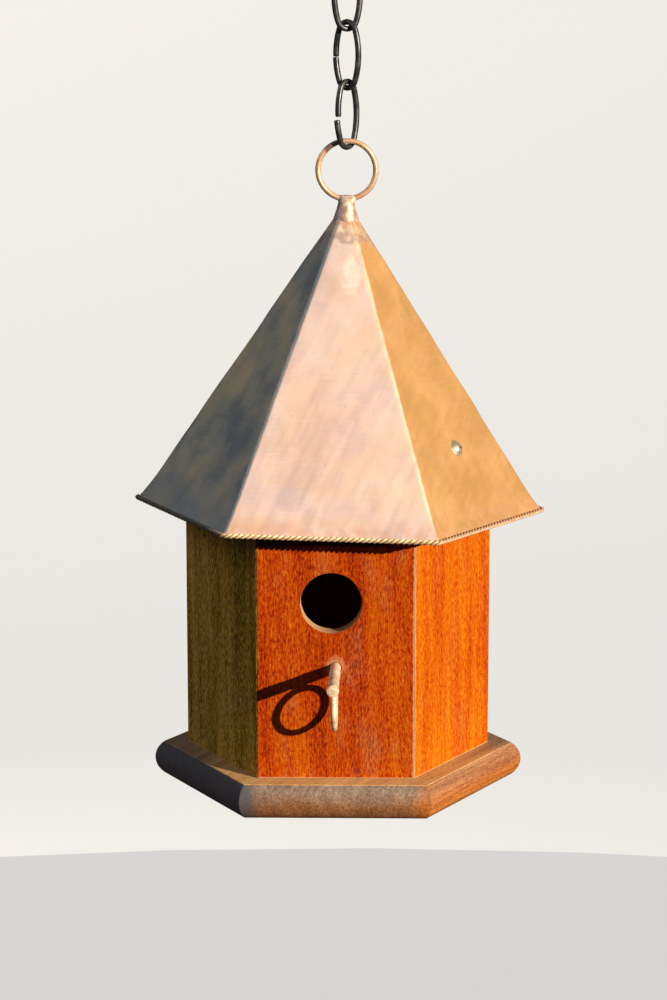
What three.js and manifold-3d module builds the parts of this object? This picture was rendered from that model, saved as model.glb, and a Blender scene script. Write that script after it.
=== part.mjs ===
// Hanging hexagonal bird house: a copper pyramid roof with a rope-twist eave, six mitred wooden walls between
// a top board and a bullnosed base board, a perch with a ring under it, and three wire links that hang it all
// from an S-hook.
//
// Millimetres, +Z up, entrance towards -Y. Heights are worked out from the top of the base board, and the whole
// group is then lowered so that the origin is where the S-hook bears on the bar or bracket that holds it.
import * as THREE from "three";
import { mergeVertices } from "three/addons/utils/BufferGeometryUtils.js";
import Module from "manifold-3d";

// ---- Driving dimensions ----

const SIDES = 6;
const HALF_SECTOR = Math.PI / SIDES;
const GAP = 0.3; // clearance where two pieces touch

// Walls
const WALL_SIDE = 98; // outside width of one wall
const WALL_THICKNESS = 12.7;
const WALL_HEIGHT = 191;
const HOLE_RADIUS = 19;
const HOLE_HEIGHT = 112.4;
const HOLE_OFFSET = -2.9; // the entrance sits this far off the front wall's centre line

// Base board
const BASE_CORNER = 119.5; // from the axis to a corner, at the crest of the bullnose
const BASE_THICKNESS = 21.5;
const NOSE_DEPTH = 5.5;
const DRAIN_RADIUS = 2.5;
const DRAIN_CIRCLE = 45;
const DRAINS = 4;

// Top board, hidden in the roof
const TOP_THICKNESS = 16;

// Roof
const EAVE_CORNER = 128.7; // from the axis to a corner of the sheet's lower edge
const EAVE_HEIGHT = 157.8;
const PEAK_HEIGHT = 353.6; // where the six faces would meet
const SHEET = 0.8;
const CROWN_CORNER = 5.4; // the sheet stops at this corner radius, under the ring's collar
const ROPE_RADIUS = 1.5;

// The roof sits a little crooked on the box, so the box hangs to one side of the ring.
const ROOF_LEAN = 1.3; // degrees about Y at the ring, right side down
const ROOF_TWIST = -1.8; // degrees about Z
const BOX_OFFSET = -5.7;
const ROOF_PLAY = 2.6; // room that this takes between the sheet and the top board

// Hanging ring and its collar
const RING_RADIUS = 18.2;
const RING_WIRE = 1.75;
const RING_HEIGHT = 372.1;
const COLLAR_RADIUS = 5.1;

// Perch
const PERCH_HEIGHT = 71.2;
const PERCH_OFFSET = -0.2; // off the front wall's centre line
const PERCH_DIP = 1; // degrees that the rod points down
const PERCH_SKEW = -0.8; // degrees that it points aside, about Z
const PERCH_RADIUS = 3.4;
const PERCH_REACH = 53;
const PERCH_SOCKET = 9;
const PERCH_RING_RADIUS = 13.4;
const PERCH_RING_WIRE = 1.85;
const PERCH_RING_REACH = 19.5; // from the wall to the ring's centre

// Chain links: ovals of four arcs, measured along the middle of the wire
const LINK_HALF_LENGTH = 20.45;
const LINK_HALF_WIDTH = 8.7;
const LINK_END_RADIUS = 6.4;
const LINK_WIRE = 1.9;
const LINK_TURNS = { lower: 48, middle: -36, upper: 24 }; // degrees about Z, from facing the front

// S-hook
const HOOK_WIRE = 2;
const HOOK_LOWER_RADIUS = 8;
const HOOK_UPPER_RADIUS = 12;
const HOOK_TURN = 110;

// Screws
const BOARD_SCREW = { head: 4, shank: 1.9, length: 40, inset: 0.3 };
const ROOF_SCREW = { head: 4.6, dome: 2.6, shank: 1.9, length: 18, height: 204.2, recess: [4.8, 1, 2.4] };
const ROOF_WASHER = { radius: 5.6, thickness: 1 };

// ---- Places worked out from them ----

const apothem = (corner) => corner * Math.cos(HALF_SECTOR);
const WALL_FACE = apothem(WALL_SIDE);
const EAVE_FACE = apothem(EAVE_CORNER);
const ROOF_SLOPE = Math.atan2(PEAK_HEIGHT - EAVE_HEIGHT, EAVE_FACE);
const roofFaceAt = (z) => (PEAK_HEIGHT - z) / Math.tan(ROOF_SLOPE);
const sheetInside = (z) => roofFaceAt(z) - SHEET / Math.sin(ROOF_SLOPE);

// Where the upright roof has to be moved to, from about the axis of the ring.
const ROOF_PLACE = new THREE.Matrix4()
  .makeTranslation(0, 0, RING_HEIGHT)
  .multiply(new THREE.Matrix4().makeRotationY(THREE.MathUtils.degToRad(ROOF_LEAN)))
  .multiply(new THREE.Matrix4().makeRotationZ(THREE.MathUtils.degToRad(ROOF_TWIST)))
  .multiply(new THREE.Matrix4().makeTranslation(0, 0, -RING_HEIGHT));

const TOP_BOTTOM = WALL_HEIGHT + GAP;
const TOP_TOP = TOP_BOTTOM + TOP_THICKNESS;

// Each loop of wire hangs from the next one up with its wire GAP below the other's.
const linkStep = 2 * LINK_HALF_LENGTH - 2 * LINK_WIRE - GAP;
const LOWER_LINK = RING_HEIGHT + RING_RADIUS - RING_WIRE - GAP - LINK_WIRE + LINK_HALF_LENGTH;
const MIDDLE_LINK = LOWER_LINK + linkStep;
const UPPER_LINK = MIDDLE_LINK + linkStep - GAP; // these two cross less squarely, so they need more room
const HOOK_BOTTOM = UPPER_LINK + LINK_HALF_LENGTH - LINK_WIRE - GAP - HOOK_WIRE;
const HOOK_WAIST = HOOK_BOTTOM + 2 * HOOK_LOWER_RADIUS;
const HANG_HEIGHT = HOOK_WAIST + 2 * HOOK_UPPER_RADIUS - HOOK_WIRE;

// ---- Materials ----

function finish(color, roughness, metalness) {
  return new THREE.MeshStandardMaterial({ color, roughness, metalness });
}
const MAHOGANY = finish(0xb5521a, 0.6, 0);
const WEATHERED_WOOD = finish(0x8a5a3c, 0.75, 0);
const PLAIN_WOOD = finish(0xb98d5e, 0.8, 0);
const COPPER = finish(0xb07a5c, 0.45, 0.9);
const PALE_COPPER = finish(0xcbb49a, 0.6, 0.6);
const BLACK_STEEL = finish(0x2a2a28, 0.4, 0.8);
const SCREW_STEEL = finish(0xb8b2a2, 0.35, 0.9);

// ---- Booleans ----

const wasm = await Module();
wasm.setup();

function solidOf(geometry) {
  const bare = geometry.index ? geometry.toNonIndexed() : geometry.clone();
  bare.deleteAttribute("normal");
  bare.deleteAttribute("uv");
  const merged = mergeVertices(bare, 1e-3);
  const triVerts = new Uint32Array(merged.index.array);
  return new wasm.Manifold(
    new wasm.Mesh({ numProp: 3, vertProperties: merged.attributes.position.array, triVerts }),
  );
}

function geometryOf(solid) {
  const mesh = solid.getMesh();
  const geometry = new THREE.BufferGeometry();
  geometry.setAttribute("position", new THREE.BufferAttribute(mesh.vertProperties, 3));
  geometry.setIndex(new THREE.BufferAttribute(mesh.triVerts, 1));
  geometry.computeVertexNormals();
  return geometry;
}

function cut(geometry, tools) {
  const rest = tools.reduce((body, tool) => body.subtract(solidOf(tool)), solidOf(geometry));
  return geometryOf(rest);
}

// ---- Shapes ----

function mesh(name, geometry, material) {
  const made = new THREE.Mesh(geometry, material);
  made.name = name;
  return made;
}

// A six-sided solid from points [apothem, height], listed upwards on the outside. They start and end on the
// axis, or close on themselves.
function hexSolid(profile) {
  const points = profile.map(([face, z]) => new THREE.Vector2(face / Math.cos(HALF_SECTOR), z));
  return new THREE.LatheGeometry(points, SIDES, HALF_SECTOR).rotateX(Math.PI / 2);
}

// A turned solid about Z from points [radius, height].
function turned(profile, segments = 20) {
  const points = profile.map(([radius, z]) => new THREE.Vector2(radius, z));
  return new THREE.LatheGeometry(points, segments).rotateX(Math.PI / 2);
}

// A rod about Z from z0 to z1.
function rod(radius, z0, z1, segments = 20) {
  return turned([[0, z0], [radius, z0], [radius, z1], [0, z1]], segments);
}

// Round wire bent along an open curve.
function bentWire(curve, radius, steps, sides = 8) {
  const section = new THREE.Shape().absarc(0, 0, radius, 0, 2 * Math.PI);
  return new THREE.ExtrudeGeometry(section, { steps, extrudePath: curve, curveSegments: sides / 2 });
}

// A full ring of round wire in the XZ plane, centred on the origin.
function wireRing(radius, wire, around = 40, sides = 8) {
  return new THREE.TorusGeometry(radius, wire, sides, around).rotateX(Math.PI / 2);
}

// Arc points for profiles, from one angle to another, in radians.
function arc(x, z, radius, from, to, count) {
  return Array.from({ length: count + 1 }, (_, i) => {
    const angle = from + ((to - from) * i) / count;
    return [x + radius * Math.cos(angle), z + radius * Math.sin(angle)];
  });
}

// ---- Screws ----

// A countersunk wood screw that points up, its head's flat face at z = 0.
function countersunkScrew({ head, shank, length }) {
  const neck = head - shank;
  return turned([[0, 0], [head, 0], [shank, neck], [shank, length - 2 * shank], [0, length]], 16);
}

// The room that such a screw needs.
function screwHole({ head, shank, length, inset }) {
  const [mouth, pilot] = [head + GAP, shank + GAP];
  const [below, end] = [-1 - inset, length + 1];
  return turned([[0, below], [mouth, below], [mouth, 0], [pilot, head - shank], [pilot, end], [0, end]], 16);
}

// Each wall takes one screw from the base board, at the middle of its width, and one from the top board. That
// one is a little nearer the inside, so that its head clears the roof, and to one side of the roof screws.
const WALL_TURNS = Array.from({ length: SIDES }, (_, k) => k * 2 * HALF_SECTOR);
const BASE_SCREW_PLACE = [0, -WALL_FACE + WALL_THICKNESS / 2, -BASE_THICKNESS + BOARD_SCREW.inset];
const TOP_SCREW_PLACE = [22, -WALL_FACE + WALL_THICKNESS * 0.64, TOP_TOP - BOARD_SCREW.inset];

const atBase = (geometry) => geometry.translate(...BASE_SCREW_PLACE);
const atTop = (geometry) => geometry.rotateX(Math.PI).translate(...TOP_SCREW_PLACE);

// ---- Walls ----

const WALL_NAMES = ["front", "right_front", "right_rear", "rear", "left_rear", "left_front"];

// One wall, standing at the front (-Y), with mitred edges and pilot holes for the screws of both boards.
function wallPanel() {
  const inset = GAP / 2 / Math.cos(HALF_SECTOR);
  const outer = WALL_SIDE / 2 - inset;
  const inner = outer - WALL_THICKNESS * Math.tan(HALF_SECTOR);
  const outline = new THREE.Shape([
    new THREE.Vector2(-outer, -WALL_FACE),
    new THREE.Vector2(outer, -WALL_FACE),
    new THREE.Vector2(inner, -WALL_FACE + WALL_THICKNESS),
    new THREE.Vector2(-inner, -WALL_FACE + WALL_THICKNESS),
  ]);
  const panel = new THREE.ExtrudeGeometry(outline, { depth: WALL_HEIGHT - GAP, bevelEnabled: false });
  panel.translate(0, 0, GAP);
  return cut(panel, [atBase(screwHole(BOARD_SCREW)), atTop(screwHole(BOARD_SCREW))]);
}

// Moves a shape that is drawn about a level perch, with the wall's face at y = 0, to where the perch is.
function atPerch(geometry) {
  return geometry
    .rotateX(THREE.MathUtils.degToRad(PERCH_DIP))
    .rotateZ(THREE.MathUtils.degToRad(PERCH_SKEW))
    .translate(PERCH_OFFSET, -WALL_FACE, PERCH_HEIGHT);
}

// The front wall's entrance hole and the blind socket that holds the perch.
function frontCuts() {
  const hole = rod(HOLE_RADIUS, -1, WALL_THICKNESS + 1, 48).rotateX(-Math.PI / 2);
  const socket = rod(PERCH_RADIUS + GAP, -1, PERCH_SOCKET + GAP).rotateX(-Math.PI / 2);
  return [hole.translate(HOLE_OFFSET, -WALL_FACE, HOLE_HEIGHT), atPerch(socket)];
}

function walls() {
  const group = new THREE.Group();
  WALL_NAMES.forEach((name, k) => {
    const panel = k === 0 ? cut(wallPanel(), frontCuts()) : wallPanel();
    const wall = mesh(`${name}_wall`, panel, MAHOGANY);
    wall.rotation.z = WALL_TURNS[k];
    group.add(wall);
  });
  return group;
}

// ---- Boards ----

// Base board with an arched nose all round, drain holes and six countersunk screw holes from below.
function baseBoard() {
  const crest = apothem(BASE_CORNER);
  const half = BASE_THICKNESS / 2;
  const noseRadius = (half * half + NOSE_DEPTH * NOSE_DEPTH) / (2 * NOSE_DEPTH);
  const swing = Math.asin(half / noseRadius);
  const nose = arc(crest - noseRadius, -half, noseRadius, -swing, swing, 8);
  const board = hexSolid([[0, -BASE_THICKNESS], ...nose, [0, 0]]);
  const screwHoles = WALL_TURNS.map((turn) => atBase(screwHole(BOARD_SCREW)).rotateZ(turn));
  const drains = Array.from({ length: DRAINS }, (_, k) => {
    const angle = ((k + 0.5) * 2 * Math.PI) / DRAINS;
    return rod(DRAIN_RADIUS, -BASE_THICKNESS - 1, 1, 14).translate(
      DRAIN_CIRCLE * Math.cos(angle),
      DRAIN_CIRCLE * Math.sin(angle),
      0,
    );
  });
  return mesh("base_board", cut(board, [...screwHoles, ...drains]), WEATHERED_WOOD);
}

// A hole for a roof screw, square to the roof's face, through the sheet and into the top board.
const ROOF_SCREW_ANGLES = [-HALF_SECTOR, Math.PI - HALF_SECTOR];
function onRoofFace(geometry, angle) {
  return geometry
    .rotateY(ROOF_SLOPE)
    .translate(roofFaceAt(ROOF_SCREW.height), 0, ROOF_SCREW.height)
    .rotateZ(angle);
}
function roofScrewHole(angle) {
  return onRoofFace(rod(ROOF_SCREW.shank + GAP, -ROOF_SCREW.length - 1, 2, 16), angle);
}

// Top board: flush with the walls below, bevelled above to fit in the roof.
function topBoard() {
  const roofRoom = (GAP + SHEET) / Math.sin(ROOF_SLOPE) + ROOF_PLAY;
  const bevelStart = PEAK_HEIGHT - (WALL_FACE + roofRoom) * Math.tan(ROOF_SLOPE);
  const board = hexSolid([
    [0, TOP_BOTTOM],
    [WALL_FACE, TOP_BOTTOM],
    [WALL_FACE, bevelStart],
    [roofFaceAt(TOP_TOP) - roofRoom, TOP_TOP],
    [0, TOP_TOP],
  ]);
  const screwHoles = WALL_TURNS.map((turn) => atTop(screwHole(BOARD_SCREW)).rotateZ(turn));
  const roofHoles = ROOF_SCREW_ANGLES.map((angle) => {
    return roofScrewHole(angle).applyMatrix4(ROOF_PLACE).translate(-BOX_OFFSET, 0, 0);
  });
  return mesh("top_board", cut(board, [...screwHoles, ...roofHoles]), PLAIN_WOOD);
}

function boardScrews() {
  const group = new THREE.Group();
  WALL_TURNS.forEach((turn, k) => {
    const upwards = atBase(countersunkScrew(BOARD_SCREW)).rotateZ(turn);
    const downwards = atTop(countersunkScrew(BOARD_SCREW)).rotateZ(turn);
    group.add(mesh(`base_screw_${k + 1}`, upwards, SCREW_STEEL));
    group.add(mesh(`top_screw_${k + 1}`, downwards, SCREW_STEEL));
  });
  return group;
}

// ---- Roof ----

function roofShell() {
  const crown = PEAK_HEIGHT - apothem(CROWN_CORNER) * Math.tan(ROOF_SLOPE);
  const shell = hexSolid([
    [sheetInside(EAVE_HEIGHT), EAVE_HEIGHT],
    [EAVE_FACE, EAVE_HEIGHT],
    [apothem(CROWN_CORNER), crown],
    [sheetInside(crown), crown],
    [sheetInside(EAVE_HEIGHT), EAVE_HEIGHT],
  ]);
  return mesh("roof_shell", cut(shell, ROOF_SCREW_ANGLES.map(roofScrewHole)), COPPER);
}

// The twisted wire soldered round the outside of the eave, as one plain hexagonal hoop.
function eaveRope() {
  const face = EAVE_FACE + ROPE_RADIUS + GAP;
  const section = arc(face, EAVE_HEIGHT + ROPE_RADIUS / 2, ROPE_RADIUS, 0, 2 * Math.PI, 8);
  return mesh("eave_rope", hexSolid(section), COPPER);
}

// A washer on the roof's face, and a domed screw through it with a cross recess.
const WASHER_TOP = GAP + ROOF_WASHER.thickness;

function roofWasher(name, angle) {
  const [hole, rim] = [ROOF_SCREW.shank + GAP, ROOF_WASHER.radius];
  const ring = turned([[hole, GAP], [rim, GAP], [rim - 0.3, WASHER_TOP], [hole, WASHER_TOP], [hole, GAP]]);
  return mesh(name, onRoofFace(ring, angle), SCREW_STEEL);
}

function roofScrew(name, angle) {
  const { head, dome, shank, length, recess } = ROOF_SCREW;
  const seat = WASHER_TOP + GAP;
  const radius = (head * head + dome * dome) / (2 * dome);
  const swing = Math.asin(head / radius);
  const top = arc(0, seat + dome - radius, radius, Math.PI / 2 - swing, Math.PI / 2, 5).slice(0, -1);
  const body = turned([
    [0, -length],
    [shank, 2 * shank - length],
    [shank, seat],
    ...top,
    [0, seat + dome],
  ]);
  const slots = [0, Math.PI / 2].map((turn) => {
    return new THREE.BoxGeometry(...recess).rotateZ(turn).translate(0, 0, seat + dome);
  });
  return mesh(name, onRoofFace(cut(body, slots), angle), SCREW_STEEL);
}

// Collar on the crown, with a stem down inside it, grooved for the ring that is soldered through it.
function ringCollar() {
  const crown = PEAK_HEIGHT - apothem(CROWN_CORNER) * Math.tan(ROOF_SLOPE);
  const stem = apothem(CROWN_CORNER) - SHEET / Math.sin(ROOF_SLOPE) - 2 * GAP;
  const top = RING_HEIGHT - RING_RADIUS + RING_WIRE + 0.9;
  const waist = (crown + top) / 2;
  const collar = turned([
    [0, crown - 6],
    [stem, crown - 6],
    [stem, crown + GAP],
    [COLLAR_RADIUS + 1.2, crown + GAP],
    [COLLAR_RADIUS + 0.4, waist],
    [COLLAR_RADIUS, top - 1.5],
    [COLLAR_RADIUS - 1, top],
    [0, top],
  ]);
  const groove = wireRing(RING_RADIUS, RING_WIRE + GAP).translate(0, 0, RING_HEIGHT);
  return mesh("ring_collar", cut(collar, [groove]), PALE_COPPER);
}

function hangingRing() {
  const ring = mesh("hanging_ring", wireRing(RING_RADIUS, RING_WIRE), COPPER);
  ring.position.z = RING_HEIGHT;
  return ring;
}

// ---- Perch ----

function perch() {
  const group = new THREE.Group();
  const tip = arc(0, PERCH_REACH - 1, 1, 0, Math.PI / 2, 3).map(([x, z]) => [PERCH_RADIUS - 1 + x, z]);
  const profile = [[0, -PERCH_SOCKET], [PERCH_RADIUS, -PERCH_SOCKET], ...tip, [0, PERCH_REACH]];
  group.add(mesh("perch_rod", atPerch(turned(profile).rotateX(Math.PI / 2)), PALE_COPPER));
  const ring = wireRing(PERCH_RING_RADIUS, PERCH_RING_WIRE, 36).rotateZ(Math.PI / 2);
  const drop = PERCH_RADIUS + PERCH_RING_WIRE + PERCH_RING_RADIUS + GAP;
  group.add(mesh("perch_ring", atPerch(ring.translate(0, -PERCH_RING_REACH, -drop)), PALE_COPPER));
  return group;
}

// ---- Chain and hook ----

// An oval of wire in the XZ plane, drawn by the direction that it faces. It starts and ends at a gap in one leg,
// a drop below its middle, and its two ends are bent apart sideways by a little.
class LinkCurve extends THREE.Curve {
  constructor({ facing, gap, splay, drop = 0 }) {
    super();
    const rise = LINK_HALF_LENGTH - LINK_END_RADIUS;
    const spread = LINK_HALF_WIDTH ** 2 + rise ** 2 - LINK_END_RADIUS ** 2;
    const legRadius = spread / (2 * (LINK_HALF_WIDTH - LINK_END_RADIUS));
    this.end = { radius: LINK_END_RADIUS, x: 0, z: rise };
    this.leg = { radius: legRadius, x: LINK_HALF_WIDTH - legRadius, z: 0 };
    this.legSwing = Math.atan2(rise, legRadius - LINK_HALF_WIDTH);
    this.start = facing + (gap / 2 + drop) / legRadius;
    this.sweep = 2 * Math.PI - gap / legRadius;
    this.splay = splay;
  }
  getPoint(t, target = new THREE.Vector3()) {
    const angle = this.start + t * this.sweep;
    const [across, up] = [Math.cos(angle), Math.sin(angle)];
    const { radius, x, z } = Math.abs(Math.asin(up)) < this.legSwing ? this.leg : this.end;
    const sideways = (this.splay / 2) * (2 * t - 1) ** 5;
    return target.set(Math.sign(across) * x + radius * across, sideways, Math.sign(up) * z + radius * up);
  }
}

function chainLink(name, height, turn, joint) {
  const link = mesh(name, bentWire(new LinkCurve(joint), LINK_WIRE, 44), BLACK_STEEL);
  link.position.z = height;
  link.rotation.z = THREE.MathUtils.degToRad(turn);
  return link;
}

// An S of two circles that touch at the waist: nearly closed below, open above for the bar it hangs from.
class HookCurve extends THREE.Curve {
  constructor() {
    super();
    this.lowerSweep = THREE.MathUtils.degToRad(300);
    this.upperSweep = THREE.MathUtils.degToRad(275);
    const lower = this.lowerSweep * HOOK_LOWER_RADIUS;
    this.lowerShare = lower / (lower + this.upperSweep * HOOK_UPPER_RADIUS);
  }
  getPoint(t, target = new THREE.Vector3()) {
    if (t < this.lowerShare) {
      const angle = Math.PI / 2 + this.lowerSweep * (1 - t / this.lowerShare);
      const x = HOOK_LOWER_RADIUS * Math.cos(angle);
      return target.set(x, 0, HOOK_WAIST - HOOK_LOWER_RADIUS + HOOK_LOWER_RADIUS * Math.sin(angle));
    }
    const angle = -Math.PI / 2 + (this.upperSweep * (t - this.lowerShare)) / (1 - this.lowerShare);
    const x = HOOK_UPPER_RADIUS * Math.cos(angle);
    return target.set(x, 0, HOOK_WAIST + HOOK_UPPER_RADIUS + HOOK_UPPER_RADIUS * Math.sin(angle));
  }
}

function hook() {
  const made = mesh("s_hook", bentWire(new HookCurve(), HOOK_WIRE, 52), BLACK_STEEL);
  made.rotation.z = THREE.MathUtils.degToRad(HOOK_TURN);
  return made;
}

// ---- Assembly ----

const birdHouse = new THREE.Group();
birdHouse.position.z = -HANG_HEIGHT;

const box = new THREE.Group();
box.position.x = BOX_OFFSET;
box.add(walls(), baseBoard(), topBoard(), boardScrews(), perch());

const roof = new THREE.Group();
roof.applyMatrix4(ROOF_PLACE);
roof.add(roofShell(), eaveRope(), ringCollar());
ROOF_SCREW_ANGLES.forEach((angle, k) => {
  const side = ["right", "left"][k];
  roof.add(roofWasher(`roof_washer_${side}`, angle), roofScrew(`roof_screw_${side}`, angle));
});

const chain = new THREE.Group();
const LEFT = Math.PI;
const RIGHT = 0;
chain.add(
  chainLink("lower_link", LOWER_LINK, LINK_TURNS.lower, { facing: LEFT, gap: 2, splay: -1.3, drop: 2.2 }),
  chainLink("middle_link", MIDDLE_LINK, LINK_TURNS.middle, { facing: LEFT, gap: 0.4, splay: 0.3, drop: 1.3 }),
  chainLink("upper_link", UPPER_LINK, LINK_TURNS.upper, { facing: RIGHT, gap: 0.5, splay: 0.4 }),
  hook(),
);

birdHouse.add(box, roof, hangingRing(), chain);

export default birdHouse;
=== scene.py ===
"""Looks of the hanging hexagonal bird house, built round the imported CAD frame."""

import math

import bmesh
import bpy
from mathutils import Matrix, Vector, noise


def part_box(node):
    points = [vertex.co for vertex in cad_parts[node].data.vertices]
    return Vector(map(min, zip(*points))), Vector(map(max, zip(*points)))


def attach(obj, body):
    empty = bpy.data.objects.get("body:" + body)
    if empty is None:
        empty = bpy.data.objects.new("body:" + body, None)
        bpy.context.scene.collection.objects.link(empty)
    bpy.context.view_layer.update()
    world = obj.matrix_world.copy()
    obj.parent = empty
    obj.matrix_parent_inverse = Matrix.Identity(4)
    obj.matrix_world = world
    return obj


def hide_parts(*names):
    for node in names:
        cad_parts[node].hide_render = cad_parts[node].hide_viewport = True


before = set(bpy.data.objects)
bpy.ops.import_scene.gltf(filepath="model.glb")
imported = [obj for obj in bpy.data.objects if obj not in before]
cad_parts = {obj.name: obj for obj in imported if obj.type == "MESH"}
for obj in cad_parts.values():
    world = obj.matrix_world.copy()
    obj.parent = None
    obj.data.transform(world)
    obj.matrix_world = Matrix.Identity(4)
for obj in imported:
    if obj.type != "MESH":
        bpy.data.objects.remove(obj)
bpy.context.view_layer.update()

MM = 0.001
SIDES = 6
HALF_SECTOR = math.pi / SIDES

# ---- Places taken from the frame ----

base_low, base_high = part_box("base_board")
wall_low, wall_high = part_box("front_wall")
ring_low, ring_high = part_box("hanging_ring")
hook_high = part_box("s_hook")[1]

DECK = base_high.z  # top face of the base board, which heights are measured from
BASE_THICKNESS = base_high.z - base_low.z
BASE_FACE = base_high.y  # from the axis to the crest of the nose
NOSE_DEPTH = 5.5 * MM
DRAIN_RADIUS = 2.5 * MM
DRAIN_CIRCLE = 45 * MM

WALL_FACE = -wall_low.y
WALL_INSIDE = -wall_high.y
WALL_HALF = (wall_high.x - wall_low.x) / 2
WALL_TOP = wall_high.z
HOLE_RADIUS = 19 * MM
BOX_X = (wall_low.x + wall_high.x) / 2  # the wooden box hangs this far to one side of the ring
BOX_PLACE = Matrix.Translation((BOX_X, 0, 0))
HOLE = Vector((-2.9 * MM, DECK + 112.4 * MM))  # across and up the front wall

# The perch is drawn level and square to the wall, with its root at the origin.
# Its place sets it dipped and askew.
PERCH = Vector((-0.2 * MM, DECK + 71.2 * MM))
PERCH_PLACE = (
    BOX_PLACE
    @ Matrix.Translation((PERCH.x, -WALL_FACE, PERCH.y))
    @ Matrix.Rotation(math.radians(-0.8), 4, "Z")
    @ Matrix.Rotation(math.radians(1), 4, "X")
)
PERCH_RADIUS = 3.4 * MM
PERCH_REACH = 53 * MM
PERCH_SOCKET = 9 * MM
PERCH_RING_RADIUS = 13.4 * MM
PERCH_RING_WIRE = 1.9 * MM
PERCH_RING_REACH = 19.5 * MM

RING_Z = (ring_low.z + ring_high.z) / 2
EAVE_Z = RING_Z - 214.3 * MM
CROWN_Z = RING_Z - 26.7 * MM
EAVE_FACE = 111.46 * MM
ROOF_SLOPE = math.radians(60.35)
ROPE_FACE = EAVE_FACE + 1.8 * MM
ROPE_Z = EAVE_Z + 0.75 * MM
SCREW_HEIGHT = DECK + 204.2 * MM

# The upright roof leans and twists a little about the ring.
ROOF_LEAN = math.radians(1.3)
ROOF_TWIST = math.radians(-1.8)
ROOF_PLACE = (
    Matrix.Translation((0, 0, RING_Z))
    @ Matrix.Rotation(ROOF_LEAN, 4, "Y")
    @ Matrix.Rotation(ROOF_TWIST, 4, "Z")
    @ Matrix.Translation((0, 0, -RING_Z))
)

RING_WIRE = 1.75 * MM
RING_RADIUS = (ring_high.z - ring_low.z) / 2 - RING_WIRE

LINK_WIRE = 1.90 * MM
LINK_HALF_WIDTH = 8.7 * MM
LINK_END_RADIUS = 6.4 * MM
HOOK_WIRE = 2 * MM


# ---- Mesh building ----

def add_piece(name, verts, faces, material, body, replaces=(), place=Matrix()):
    """A mesh piece that rides a body and may stand for CAD nodes."""
    mesh = bpy.data.meshes.new(name)
    mesh.from_pydata([tuple(v) for v in verts], [], faces)
    mesh.validate()
    bm = bmesh.new()
    bm.from_mesh(mesh)
    bmesh.ops.recalc_face_normals(bm, faces=bm.faces)
    bm.to_mesh(mesh)
    bm.free()
    return add_mesh(name, mesh, material, body, replaces, place=place)


def add_mesh(name, mesh, material, body, replaces=(), smooth=True, place=Matrix(), crease=38):
    piece = bpy.data.objects.new(name, mesh)
    bpy.context.scene.collection.objects.link(piece)
    piece.matrix_world = place
    if not mesh.materials:
        mesh.materials.append(material)
    for face in mesh.polygons:
        face.use_smooth = smooth
    if smooth:
        mark_sharp(mesh, math.radians(crease))
    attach(piece, body)
    if replaces:
        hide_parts(*replaces)
    return piece


def mark_sharp(mesh, angle):
    """Keeps a crease where two faces meet at more than an angle."""
    bm = bmesh.new()
    bm.from_mesh(mesh)
    for edge in bm.edges:
        if len(edge.link_faces) == 2 and edge.calc_face_angle(0) > angle:
            edge.smooth = False
    bm.to_mesh(mesh)
    bm.free()


def rounded_hexagon(face, corner_radius, per_side=8, per_corner=5):
    """Points round a hexagon with rounded corners and flats front and back, from its distance to a flat."""
    points = []
    corner = (face - corner_radius) / math.cos(HALF_SECTOR)
    straight = 2 * corner * math.sin(HALF_SECTOR)
    for k in range(SIDES):
        out = -math.pi / 2 + k * 2 * HALF_SECTOR
        normal = Vector((math.cos(out), math.sin(out)))
        along = Vector((-normal.y, normal.x))
        for i in range(per_side):
            points.append(normal * face + along * straight * (i / per_side - 0.5))
        centre = Vector((math.cos(out + HALF_SECTOR), math.sin(out + HALF_SECTOR))) * corner
        for i in range(per_corner):
            a = out + 2 * HALF_SECTOR * i / per_corner
            points.append(centre + corner_radius * Vector((math.cos(a), math.sin(a))))
    return points


def skin_rings(rings, closed=False):
    """Quads between rings of equal length, each ring a closed loop."""
    count = len(rings[0])
    verts = [v for ring in rings for v in ring]
    faces = []
    for r in range(len(rings) if closed else len(rings) - 1):
        a, b = r * count, ((r + 1) % len(rings)) * count
        for i in range(count):
            j = (i + 1) % count
            faces.append((a + i, a + j, b + j, b + i))
    return verts, faces


def cap(faces, first, count):
    faces.append(tuple(range(first, first + count)))


def sweep(path, radius, sides=14, closed=False, up=Vector((0, 0, 1))):
    """A round wire along points. radius is a number, or a function of the place from 0 to 1 along it."""
    count = len(path)
    side = None
    rings = []
    for i, point in enumerate(path):
        after = path[(i + 1) % count] if closed or i < count - 1 else path[i]
        before = path[i - 1] if closed or i > 0 else path[i]
        tangent = (after - before).normalized()
        if side is None:
            side = tangent.cross(up).normalized()
        side = (side - tangent * side.dot(tangent)).normalized()
        other = tangent.cross(side)
        r = radius(i / max(1, count - 1)) if callable(radius) else radius
        turns = (2 * math.pi * k / sides for k in range(sides))
        rings.append([point + r * (math.cos(a) * side + math.sin(a) * other) for a in turns])
    verts, faces = skin_rings(rings, closed)
    if not closed:
        cap(faces, 0, sides)
        cap(faces, (count - 1) * sides, sides)
    return verts, faces


def joined(*parts):
    """Several (verts, faces) pairs as one."""
    verts, faces = [], []
    for part_verts, part_faces in parts:
        start = len(verts)
        verts += part_verts
        faces += [tuple(i + start for i in face) for face in part_faces]
    return verts, faces


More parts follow.
